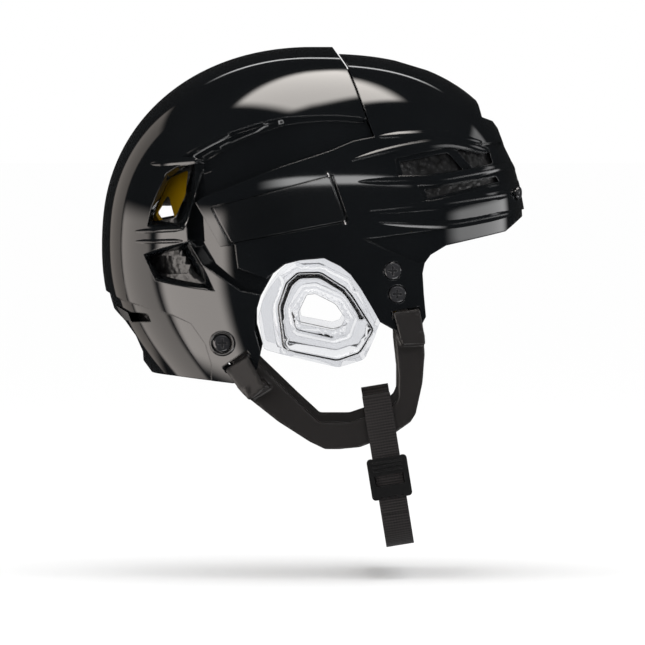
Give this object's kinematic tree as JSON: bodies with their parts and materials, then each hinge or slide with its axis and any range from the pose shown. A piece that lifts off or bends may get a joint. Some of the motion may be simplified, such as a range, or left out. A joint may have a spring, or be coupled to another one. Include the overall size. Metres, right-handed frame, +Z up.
{
  "type": "ice hockey helmet",
  "caption": "Ice hockey helmet with two sliding shell halves, lock levers, foam and slip liners, clear ear guards, ear slings and a chin strap with a slider buckle.",
  "frame": {"origin": "middle of the head cavity, at the level where the shells are widest", "axes": "+X forward to the brow, +Y to the wearer's left, +Z up to the crown"},
  "size_m": [0.2743, 0.2212, 0.3219],
  "materials": {
    "gloss_shell": "high gloss black",
    "foam": "black expanded foam",
    "elastomer": "soft elastomer",
    "pad_fabric": "padded fabric",
    "clear_plastic": "clear moulded",
    "sling_rubber": "matte soft black",
    "nut_steel": "plain steel",
    "screw_black": "black coated",
    "grey_insert": "grey satin",
    "slider_plastic": "satin black",
    "lever_plastic": "gloss black",
    "slip_layer": "smooth yellow low friction layer",
    "webbing": "fine ribbed webbing"
  },
  "bodies": {
    "front": {"front_shell": "gloss_shell", "front_liner": "foam", "front_slip_anchor": "elastomer", "right_temple_pad": "pad_fabric", "left_temple_pad": "pad_fabric", "right_ear_guard": "clear_plastic", "left_ear_guard": "clear_plastic", "right_sling": "sling_rubber", "left_sling": "sling_rubber", "right_lever_pin": "nut_steel", "left_lever_pin": "nut_steel", "right_upper_temple_screw": "screw_black", "left_upper_temple_screw": "screw_black", "right_upper_temple_nut": "nut_steel", "left_upper_temple_nut": "nut_steel", "right_lower_temple_screw": "screw_black", "left_lower_temple_screw": "screw_black", "right_lower_temple_nut": "nut_steel", "left_lower_temple_nut": "nut_steel", "right_brow_screw": "screw_black", "left_brow_screw": "screw_black", "right_brow_nut": "nut_steel", "left_brow_nut": "nut_steel"},
    "rear": {"rear_shell": "gloss_shell", "rear_liner": "foam", "rear_slip_anchor": "elastomer", "nape_pad": "pad_fabric", "rear_vent_insert": "grey_insert", "right_lock_rack": "slider_plastic", "left_lock_rack": "slider_plastic", "right_rear_screw": "screw_black", "left_rear_screw": "screw_black", "right_rear_nut": "nut_steel", "left_rear_nut": "nut_steel"},
    "right_lever": {"right_lock_lever": "lever_plastic"},
    "left_lever": {"left_lock_lever": "lever_plastic"},
    "front_slip": {"front_slip_liner": "slip_layer", "forehead_pad": "pad_fabric"},
    "rear_slip": {"rear_slip_liner": "slip_layer", "crown_pad": "pad_fabric", "rear_pad": "pad_fabric", "right_side_pad": "pad_fabric", "left_side_pad": "pad_fabric"},
    "strap": {"chin_strap": "webbing", "snap_cap": "screw_black", "snap_socket": "slider_plastic"},
    "slider": {"strap_slider": "slider_plastic"}
  },
  "joints": [
    {"name": "size_slide", "type": "slide", "parent": "front", "child": "rear", "axis": [-1, 0, 0], "range_m": [0, 0.012], "deforming": ["right_sling", "left_sling"]},
    {"name": "right_lever_swing", "type": "hinge", "parent": "front", "child": "right_lever", "pos_m": [0.00911, -0.10443, 0.04235], "axis": [-0.3296, 0.1155, 0.937], "range_deg": [0, 50]},
    {"name": "left_lever_swing", "type": "hinge", "parent": "front", "child": "left_lever", "pos_m": [0.00911, 0.10443, 0.04235], "axis": [0.3296, 0.1155, -0.937], "range_deg": [0, 50]},
    {"name": "front_slip_turn", "type": "hinge", "parent": "front", "child": "front_slip", "pos_m": [0, 0, 0], "axis": [0, 0, 1], "range_deg": [-1.5, 1.5], "stiffness_Nm_per_rad": 6},
    {"name": "rear_slip_turn", "type": "hinge", "parent": "rear", "child": "rear_slip", "pos_m": [0, 0, 0], "axis": [0, 0, 1], "range_deg": [-1.5, 1.5], "stiffness_Nm_per_rad": 6},
    {"name": "strap_swing", "type": "hinge", "parent": "front", "child": "strap", "pos_m": [0.04018, 0, -0.10401], "axis": [0, 1, 0], "range_deg": [-12, 20]},
    {"name": "slider_slide", "type": "slide", "parent": "strap", "child": "slider", "axis": [0.1599, 0, -0.9871], "range_m": [0, 0.01]}
  ]
}
